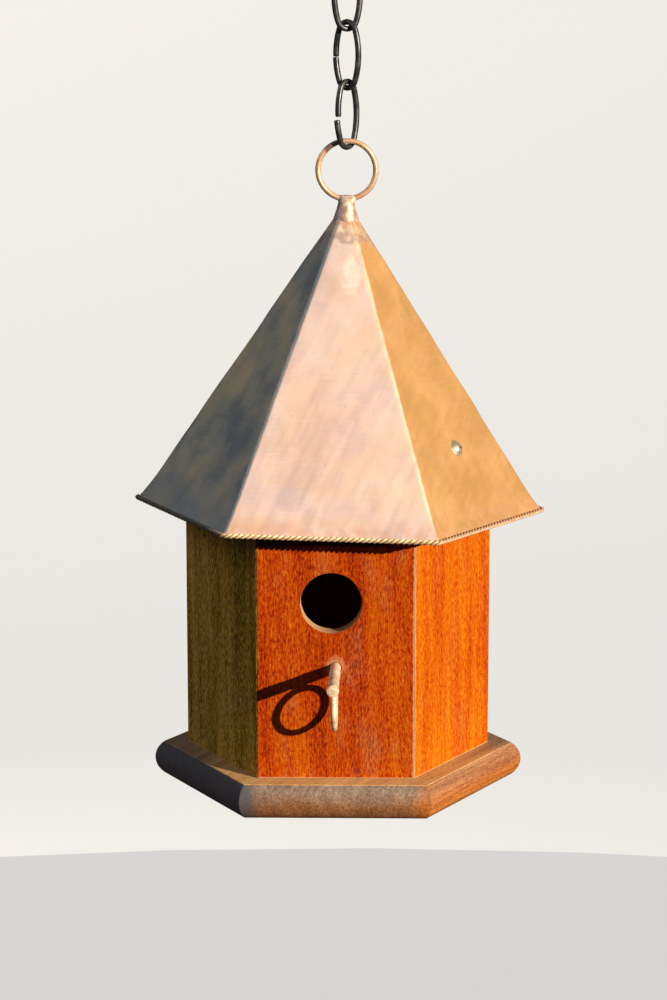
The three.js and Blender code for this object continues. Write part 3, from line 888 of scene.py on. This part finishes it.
def build_base():
    """The base board: an arched nose swept round a hexagon with barely eased corners."""
    half = BASE_THICKNESS / 2
    radius = (half ** 2 + NOSE_DEPTH ** 2) / (2 * NOSE_DEPTH)
    swing = math.asin(half / radius)
    steps = 16
    bm = bmesh.new()
    rings = []
    for i in range(steps + 1):
        a = -swing + 2 * swing * i / steps
        face = BASE_FACE - radius + radius * math.cos(a)
        z = DECK - half + radius * math.sin(a)
        rings.append([bm.verts.new((p.x, p.y, z)) for p in rounded_hexagon(face, 0.7 * MM, 1, 3)])
    for a, b in zip(rings, rings[1:]):
        bridge(bm, a, b)
    top_rims, bottom_rims = [], []
    for k in range(4):
        a = (k + 0.5) * math.pi / 2
        centre = DRAIN_CIRCLE * Vector((math.cos(a), math.sin(a)))
        pair = [[bm.verts.new((p.x, p.y, z)) for p in circle(centre, DRAIN_RADIUS, 24)]
                for z in (DECK, DECK - BASE_THICKNESS)]
        top_rims.append(pair[0])
        bottom_rims.append(pair[1])
        bridge(bm, *pair)
    for k in range(SIDES):
        low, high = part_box(f"base_screw_{k + 1}")
        centre = Vector(((low.x + high.x) / 2 - BOX_X, (low.y + high.y) / 2))
        mouth, seat = 4.3 * MM, 2.2 * MM
        levels = [(mouth, 0), (mouth, 0.3 * MM), (seat, 2.4 * MM), (seat, 6 * MM)]
        previous = None
        for ring_radius, depth in levels:
            z = DECK - BASE_THICKNESS + depth
            ring = [bm.verts.new((p.x, p.y, z)) for p in circle(centre, ring_radius, 24)]
            if previous is None:
                bottom_rims.append(ring)
            else:
                bridge(bm, previous, ring)
            previous = ring
        bm.faces.new(previous)
    plate_with_holes(bm, rings[-1], top_rims, Vector((0, 0, 1)))
    plate_with_holes(bm, rings[0], bottom_rims, Vector((0, 0, -1)))
    bmesh.ops.recalc_face_normals(bm, faces=bm.faces)
    mesh = bpy.data.meshes.new("base")
    bm.to_mesh(mesh)
    bm.free()
    add_mesh("base", mesh, WEATHERED, "house", ["base_board"], place=BOX_PLACE, crease=24)


# ---- Roof ----

def roof_half_width(height):
    """From the axis to a face of the sheet, at a height above the eave. The edge flares out a little."""
    straight = EAVE_FACE - height / math.tan(ROOF_SLOPE)
    return straight + 1.3 * MM * math.exp(-height / (5 * MM)) - 0.4 * MM


def build_roof():
    rise = CROWN_Z - EAVE_Z
    levels = 70
    rings = []
    for i in range(levels + 1):
        height = rise * (i / levels) ** 1.15
        face = roof_half_width(height)
        corner = min(0.9 * face, (2.6 + 1.6 * i / levels) * MM)
        ring = []
        for p in rounded_hexagon(face, corner, 16, 6):
            point = Vector((p.x, p.y, EAVE_Z + height))
            out = Vector((p.x, p.y, 0)).normalized()
            fade = min(1, height / (12 * MM)) * min(1, (rise - height) / (25 * MM))
            dent = wobble(point, 0.045, 0.9 * MM) + wobble(point, 0.016, 0.22 * MM)
            ring.append(point + out * dent * fade)
        rings.append(ring)
    verts, faces = skin_rings(rings)
    roof = add_piece("roof_sheet", verts, faces, ROOF_COPPER, "house", ["roof_shell"],
                     place=ROOF_PLACE)
    sheet = roof.modifiers.new("sheet", "SOLIDIFY")
    sheet.thickness = 0.8 * MM
    sheet.offset = -1


def build_rope():
    """Two strands of wire twisted together, laid round the eave with softly rounded corners."""
    outline = rounded_hexagon(ROPE_FACE, 4.5 * MM, 60, 10)
    path = [Vector((p.x, p.y, ROPE_Z)) for p in outline]
    lengths = [0.0]
    for a, b in zip(path, path[1:] + path[:1]):
        lengths.append(lengths[-1] + (b - a).length)
    total = lengths[-1]
    turns = round(total / (7.0 * MM))
    per_turn = 11
    count = turns * per_turn

    def at(distance):
        distance %= total
        k = max(i for i in range(0, len(path)) if lengths[i] <= distance) if distance else 0
        share = (distance - lengths[k]) / (lengths[k + 1] - lengths[k])
        return path[k].lerp(path[(k + 1) % len(path)], share)

    line = [at(total * i / count) for i in range(count)]
    strands = []
    for strand in range(2):
        points = []
        for i, point in enumerate(line):
            along = (line[(i + 1) % count] - line[i - 1]).normalized()
            out = Vector((along.y, -along.x, 0))
            a = 2 * math.pi * i / per_turn + math.pi * strand
            points.append(point + 0.84 * MM * (math.cos(a) * out + math.sin(a) * Vector((0, 0, 1))))
        strands.append(sweep(points, 0.80 * MM, 8, closed=True))
    verts, faces = joined(*strands)
    add_piece("eave_twist", verts, faces, ROPE_COPPER, "house", ["eave_rope"], place=ROOF_PLACE)


def roof_face_frame(angle):
    """Places Z square to the roof's face at the screw's height."""
    face = EAVE_FACE - (SCREW_HEIGHT - EAVE_Z) / math.tan(ROOF_SLOPE)
    place = Matrix.Translation((face, 0, SCREW_HEIGHT))
    return Matrix.Rotation(angle, 4, "Z") @ place @ Matrix.Rotation(ROOF_SLOPE, 4, "Y")


def build_roof_screws():
    """A domed screw with a cross recess, on a dished washer."""
    for side, angle in (("right", -HALF_SECTOR), ("left", math.pi - HALF_SECTOR)):
        about = roof_face_frame(angle)
        hole, rim = 2.2 * MM, 5.6 * MM
        section = [
            (hole, 0.2 * MM),
            (rim - 0.2 * MM, 0.1 * MM),
            (rim, 0.5 * MM),
            (rim - 0.3 * MM, 0.95 * MM),
            (4.9 * MM, 1.25 * MM),
            (hole, 1.3 * MM),
        ]
        rings = []
        for radius, height in section:
            ring = circle(Vector((0, 0)), radius, 40)
            rings.append([about @ Vector((p.x, p.y, height)) for p in ring])
        verts, faces = skin_rings(rings, closed=True)
        node = "roof_washer_" + side
        add_piece("washer_" + side, verts, faces, SCREW_STEEL, "house", [node],
                  place=ROOF_PLACE)
        add_mesh("screw_" + side, screw_mesh("screw_" + side, about), SCREW_STEEL, "house",
                 ["roof_screw_" + side], place=ROOF_PLACE)


def screw_mesh(name, about, head=4.5 * MM, dome=2.5 * MM, seat=1.4 * MM, length=18 * MM):
    radius = (head ** 2 + dome ** 2) / (2 * dome)
    swing = math.asin(head / radius)
    profile = [(0, -length), (1.2 * MM, -length + 3 * MM), (1.9 * MM, -length + 5 * MM), (1.9 * MM, seat)]
    profile += [(head - 0.3 * MM, seat), (head, seat + 0.25 * MM)]
    for i in range(1, 9):
        a = swing * (1 - i / 9)
        profile.append((radius * math.sin(a), seat + dome - radius + radius * math.cos(a)))
    profile.append((0, seat + dome))
    return with_recess(name, lathe(profile, 40), seat + dome, about)


def with_recess(name, solid, top, about):
    """Cuts a tapered cross recess into a screw's head."""
    body = bpy.data.meshes.new(name)
    body.from_pydata([tuple(v) for v in solid[0]], [], solid[1])
    screw = bpy.data.objects.new(name + "_body", body)
    verts, faces = [], []
    for turn in (math.radians(35), math.radians(125)):
        wide, narrow, depth = Vector((2.6, 0.62, 0)) * MM, Vector((1.0, 0.4, 0)) * MM, 2.1 * MM
        spin = Matrix.Rotation(turn, 3, "Z")
        start = len(verts)
        for size, z in ((wide, top + 1 * MM), (wide, top - 0.2 * MM), (narrow, top - depth)):
            for sx, sy in ((-1, -1), (1, -1), (1, 1), (-1, 1)):
                verts.append(spin @ Vector((sx * size.x, sy * size.y, z)))
        faces.append(tuple(start + i for i in (0, 1, 2, 3)))
        faces.append(tuple(start + i for i in (11, 10, 9, 8)))
        for level in (0, 4):
            for i in range(4):
                j = (i + 1) % 4
                faces.append(tuple(start + level + n for n in (i, j, j + 4, i + 4)))
    cutter_mesh = bpy.data.meshes.new("recess")
    cutter_mesh.from_pydata([tuple(v) for v in verts], [], faces)
    cutter = bpy.data.objects.new("recess", cutter_mesh)
    for thing in (screw, cutter):
        bpy.context.scene.collection.objects.link(thing)
        bm = bmesh.new()
        bm.from_mesh(thing.data)
        bmesh.ops.recalc_face_normals(bm, faces=bm.faces)
        bm.to_mesh(thing.data)
        bm.free()
    cut = screw.modifiers.new("recess", "BOOLEAN")
    cut.operation = "DIFFERENCE"
    cut.solver = "EXACT"
    cut.use_self = True
    cut.object = cutter
    evaluated = screw.evaluated_get(bpy.context.evaluated_depsgraph_get())
    result = bpy.data.meshes.new_from_object(evaluated)
    result.transform(about)
    bpy.data.objects.remove(screw)
    bpy.data.objects.remove(cutter)
    return result


def build_base_screws():
    """Countersunk screws that close the base from below."""
    head, shank, length = 4 * MM, 1.9 * MM, 40 * MM
    profile = [(0, -length), (shank, -length + 4 * MM), (shank, -head + shank), (head, -0.15 * MM),
               (head - 0.15 * MM, 0), (0, 0)]
    for k in range(SIDES):
        low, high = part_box(f"base_screw_{k + 1}")
        place = Matrix.Translation(((low.x + high.x) / 2, (low.y + high.y) / 2, low.z))
        turn = Matrix.Rotation(0.7 * k, 4, "Z")
        about = place @ Matrix.Rotation(math.pi, 4, "X") @ turn
        mesh = with_recess(f"floor_screw_{k + 1}", lathe(profile, 32), 0, about)
        add_mesh(f"floor_screw_{k + 1}", mesh, SCREW_STEEL, "house", [f"base_screw_{k + 1}"])


def build_collar():
    """The crown's collar: a neck of folded copper under a saddle of solder that has run along the ring."""
    top = RING_Z - RING_RADIUS
    neck = [
        (0, CROWN_Z - 7 * MM),
        (6.0 * MM, CROWN_Z - 7 * MM),
        (8.3 * MM, CROWN_Z - 5 * MM),
        (7.2 * MM, CROWN_Z - 1 * MM),
        (6.1 * MM, CROWN_Z + 2 * MM),
        (5.4 * MM, (CROWN_Z + top) / 2 + 1 * MM),
        (5.1 * MM, top - 1.5 * MM),
        (4.0 * MM, top + 0.8 * MM),
        (0, top + 1.6 * MM),
    ]
    reach = math.radians(19)
    steps = 14
    arc = []
    for i in range(steps + 1):
        a = -math.pi / 2 + reach * (2 * i / steps - 1)
        arc.append(Vector((RING_RADIUS * math.cos(a), 0, RING_Z + RING_RADIUS * math.sin(a))))
    swell = sweep(arc, lambda t: (1.75 + 0.9 * math.sin(math.pi * t) ** 1.5) * MM, 16)
    drop = [(0, -2.2 * MM), (1.8 * MM, -1.2 * MM), (2.1 * MM, 0), (1.5 * MM, 1.4 * MM), (0, 2.0 * MM)]
    blobs = lathe(drop, 16, Matrix.Translation((3.6 * MM, -1.2 * MM, top - 0.2 * MM)))
    verts, faces = joined(lathe(neck, 40), swell, blobs)
    mesh = settle("collar", verts, faces, 0.38 * MM, 7)
    for vert in mesh.vertices:
        out = Vector((vert.co.x, vert.co.y, 0))
        if out.length > 1e-5:
            vert.co += out.normalized() * wobble(vert.co, 0.005, 0.25 * MM)
    add_mesh("collar", mesh, SOLDER, "house", ["ring_collar"], place=ROOF_PLACE)


def thinning(t, bend):
    """The share that a wire is thinner by near a bend, to stay clear of the next one as they swing."""
    return 0.06 * math.exp(-((t - bend) / 0.09) ** 2)


def build_ring():
    count = 120
    path = []
    for i in range(count):
        a = 2 * math.pi * i / count
        point = Vector((math.cos(a), 0, math.sin(a)))
        uneven = 1 - max(0, point.z)
        r = RING_RADIUS + uneven * wobble(point, 0.8, 0.25 * MM)
        y = uneven * wobble(point + Vector((3, 0, 0)), 0.9, 0.3 * MM)
        path.append(Vector((r * point.x, y, RING_Z + r * point.z)))

    def girth(t):
        return RING_WIRE * (1 - thinning(t, 0.25))

    verts, faces = sweep(path, girth, 18, closed=True, up=Vector((0, 1, 0)))
    add_piece("ring", verts, faces, RING_COPPER, "house", ["hanging_ring"])


# ---- Perch ----

def build_perch():
    """A rough cast rod with a swollen tip, and a ring soldered under it."""
    root = PERCH_SOCKET - 0.2 * MM
    reach = root + PERCH_REACH
    r = PERCH_RADIUS
    profile = [(0, 0), (r, 0)]
    for i in range(1, 30):
        share = i / 30
        uneven = 1 + 0.03 * math.sin(19 * share) + 0.02 * math.sin(47 * share)
        profile.append((r * uneven, reach * share * 0.93))
    profile += [
        (1.02 * r, reach - 3.2 * MM),
        (1.13 * r, reach - 2.4 * MM),
        (1.15 * r, reach - 1.4 * MM),
        (1.05 * r, reach - 0.5 * MM),
        (0.65 * r, reach - 0.1 * MM),
        (0, reach + 0.05 * MM),
    ]
    lying = Matrix.Rotation(math.pi / 2, 4, "X")
    verts, faces = lathe(profile, 28, Matrix.Translation((0, root, 0)) @ lying)
    add_piece("perch", verts, faces, PALE_COPPER, "house", ["perch_rod"], place=PERCH_PLACE)

    wire, radius = PERCH_RING_WIRE, PERCH_RING_RADIUS
    centre = Vector((0, -PERCH_RING_REACH, -PERCH_RADIUS - wire - radius - 0.25 * MM))
    count = 90
    path = []
    for i in range(count):
        a = 2 * math.pi * i / count
        path.append(centre + radius * Vector((0, math.cos(a), math.sin(a))))
    ring = sweep(path, wire, 14, closed=True, up=Vector((1, 0, 0)))
    touch = centre + Vector((0, 0, radius + wire * 0.6))
    spindle = [(0, -4.5 * MM), (1.3 * MM, -3.2 * MM), (2.1 * MM, 0), (1.3 * MM, 3.2 * MM), (0, 4.5 * MM)]
    fillet = lathe(spindle, 16, Matrix.Translation(touch) @ lying)
    verts, faces = joined(ring, fillet)
    mesh = settle("perch_loop", verts, faces, 0.4 * MM, 3)
    add_mesh("perch_loop", mesh, PALE_COPPER, "house", ["perch_ring"], place=PERCH_PLACE)


# ---- Chain and hook ----

def link_path(half_length, facing, gap, splay, drop=0.0, count=150):
    """An oval of four arcs with a gap in one leg, a drop away from the leg's middle."""
    rise = half_length - LINK_END_RADIUS
    spread = LINK_HALF_WIDTH ** 2 + rise ** 2 - LINK_END_RADIUS ** 2
    leg_radius = spread / (2 * (LINK_HALF_WIDTH - LINK_END_RADIUS))
    leg_swing = math.atan2(rise, leg_radius - LINK_HALF_WIDTH)
    half_leg = (leg_swing, leg_radius)
    bend = (math.pi - 2 * leg_swing, LINK_END_RADIUS)
    pieces = [half_leg, bend, (2 * leg_swing, leg_radius), bend, half_leg]
    total = sum(angle * radius for angle, radius in pieces)
    points = []
    for i in range(count + 1):
        t = i / count
        walked = gap / 2 + drop + (total - gap) * t
        angle = 0.0
        for swing, radius in pieces:
            if walked <= swing * radius or (swing, radius) == pieces[-1] and angle > math.pi:
                angle += walked / radius
                break
            walked -= swing * radius
            angle += swing
        angle += facing
        across, up = math.cos(angle), math.sin(angle)
        on_leg = abs(math.asin(max(-1, min(1, up)))) < leg_swing
        radius = leg_radius if on_leg else LINK_END_RADIUS
        x = math.copysign(1, across) * (LINK_HALF_WIDTH - leg_radius) if on_leg else 0
        z = 0 if on_leg else math.copysign(rise, up)
        points.append(Vector((x + radius * across, splay / 2 * (2 * t - 1) ** 5, z + radius * up)))
    return points


def build_chain():
    turns = {"upper_link": 24, "middle_link": -36, "lower_link": 48}
    joints = {
        "lower_link": dict(facing=math.pi, gap=2.1 * MM, splay=-1.3 * MM, drop=2.2 * MM),
        "middle_link": dict(facing=math.pi, gap=0.3 * MM, splay=0.3 * MM, drop=1.3 * MM),
        "upper_link": dict(facing=0.0, gap=0.3 * MM, splay=0.3 * MM),
    }
    for node, joint in joints.items():
        low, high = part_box(node)
        half_length = (high.z - low.z) / 2 - LINK_WIRE
        centre = Vector((0, 0, (low.z + high.z) / 2))
        turn = Matrix.Rotation(math.radians(turns[node]), 3, "Z")
        path = [centre + turn @ p for p in link_path(half_length, **joint)]
        side = turn @ Vector((0, 1, 0))

        def girth(t):
            end = min(t, 1 - t)
            return LINK_WIRE * (1 - 0.16 * math.exp(-end / 0.0045) - thinning(t, 0.25) - thinning(t, 0.75))

        verts, faces = sweep(path, girth, 16, up=side)
        add_piece(node + "_wire", verts, faces, BLACK_STEEL, node, [node])


def build_hook():
    """An S of two loops that touch at the waist, open above."""
    lower_radius, upper_radius = 8 * MM, 12 * MM
    waist = hook_high.z - HOOK_WIRE - 2 * upper_radius
    path = []
    for i in range(61):
        a = math.pi / 2 + math.radians(300) * (1 - i / 60)
        path.append(Vector((lower_radius * math.cos(a), 0, waist - lower_radius * (1 - math.sin(a)))))
    for i in range(1, 71):
        a = -math.pi / 2 + math.radians(275) * i / 70
        path.append(Vector((upper_radius * math.cos(a), 0, waist + upper_radius * (1 + math.sin(a)))))
    turn = Matrix.Rotation(math.radians(110), 3, "Z")
    path = [turn @ p for p in path]

    def girth(t):
        end = min(t, 1 - t)
        return HOOK_WIRE * (1 - 0.2 * math.exp(-end / 0.006))

    verts, faces = sweep(path, girth, 16, up=turn @ Vector((0, 1, 0)))
    add_piece("hook", verts, faces, BLACK_STEEL, "hook", ["s_hook"])


# ---- Carried-over CAD nodes ----

def dress(node, material):
    mesh_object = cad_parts[node]
    mesh_object.data.materials.clear()
    mesh_object.data.materials.append(material)


# ---- Stage ----

def build_stage():
    """A pale floor that sweeps up all round like a dome, and a dim sky. The floor glows by itself, and is
    hidden from shadow, bounce and reflection rays, so it neither shades nor lights the house."""
    flat, bend = 6, 12
    rings = []
    for step in range(33):
        swing = math.radians(5 * step)
        height = base_low.z - 2 + bend * (1 - math.cos(swing))
        rings.append([(p.x, p.y, height) for p in circle(Vector((0, 0)), flat + bend * math.sin(swing), 64)])
    verts, faces = skin_rings(rings)
    cap(faces, 0, 64)
    floor_mesh = bpy.data.meshes.new("floor")
    floor_mesh.from_pydata(verts, [], faces)
    floor_mesh.shade_smooth()
    floor = bpy.data.objects.new("floor", floor_mesh)
    bpy.context.scene.collection.objects.link(floor)
    floor.visible_shadow = False
    floor.visible_glossy = False
    floor.visible_diffuse = False
    s = Shader("floor")
    pale = (0.90, 0.89, 0.87)
    s.finish(Base_Color=(0.15, 0.15, 0.14), Roughness=0.9, Emission_Color=pale, Emission_Strength=0.75)
    floor_mesh.materials.append(s.material)

    world = bpy.data.worlds.new("studio")
    bpy.context.scene.world = world
    world.use_nodes = True
    background = world.node_tree.nodes["Background"]
    background.inputs["Color"].default_value = (0.80, 0.88, 1.0, 1)
    background.inputs["Strength"].default_value = 0.06


def add_light(name, kind, towards, strength, spread, colour):
    """A lamp that shines on the middle of the house from a direction: a sun, or a disk three metres away."""
    aim = Vector((0, 0, DECK + 0.11))
    lamp = bpy.data.lights.new(name, kind)
    lamp.energy = strength
    lamp.color = colour
    if kind == "SUN":
        lamp.angle = spread
    else:
        lamp.shape = "DISK"
        lamp.size = spread
    light = bpy.data.objects.new(name, lamp)
    direction = Vector(towards).normalized()
    light.location = aim + direction * 3
    light.rotation_mode = "QUATERNION"
    light.rotation_quaternion = (-direction).to_track_quat("-Z", "Y")
    bpy.context.scene.collection.objects.link(light)


def build_lights():
    """A warm low key from the front right, and pale soft light from the left and above."""
    add_light("key", "SUN", (1.125, -1.0, 0.41), 6.6, math.radians(0.9), (1.0, 0.90, 0.74))
    add_light("left_fill", "AREA", (-1.0, -0.2, 0.7), 19, 1.8, (0.95, 0.98, 1.0))
    add_light("top_fill", "AREA", (0.2, 0.4, 1.0), 4, 1.5, (0.95, 0.97, 1.0))


def build_camera():
    """Looks a little down on the front wall, from slightly to its left."""
    swing = BOX_PLACE @ Matrix.Rotation(math.radians(0.97), 4, "Z")
    stand = swing @ Vector((-2.8 * MM, -1821.3 * MM, DECK + 518.8 * MM))
    aim = swing @ Vector((-2.8 * MM, 0, DECK + 160.7 * MM))
    data = bpy.data.cameras.new("camera")
    data.sensor_width = 36
    data.lens = 104
    data.clip_end = 500
    camera = bpy.data.objects.new("camera", data)
    camera.location = stand
    camera.rotation_mode = "QUATERNION"
    camera.rotation_quaternion = (aim - stand).to_track_quat("-Z", "Y")
    bpy.context.scene.collection.objects.link(camera)
    bpy.context.scene.camera = camera


# ---- Build ----

build_stage()
build_lights()
build_camera()
build_walls()
build_base()
build_base_screws()
build_roof()
build_rope()
build_roof_screws()
build_collar()
build_ring()
build_perch()
build_chain()
build_hook()
dress("top_board", PLAIN)
for number in range(1, SIDES + 1):
    dress(f"top_screw_{number}", SCREW_STEEL)
bpy.context.scene.view_settings.view_transform = "Standard"
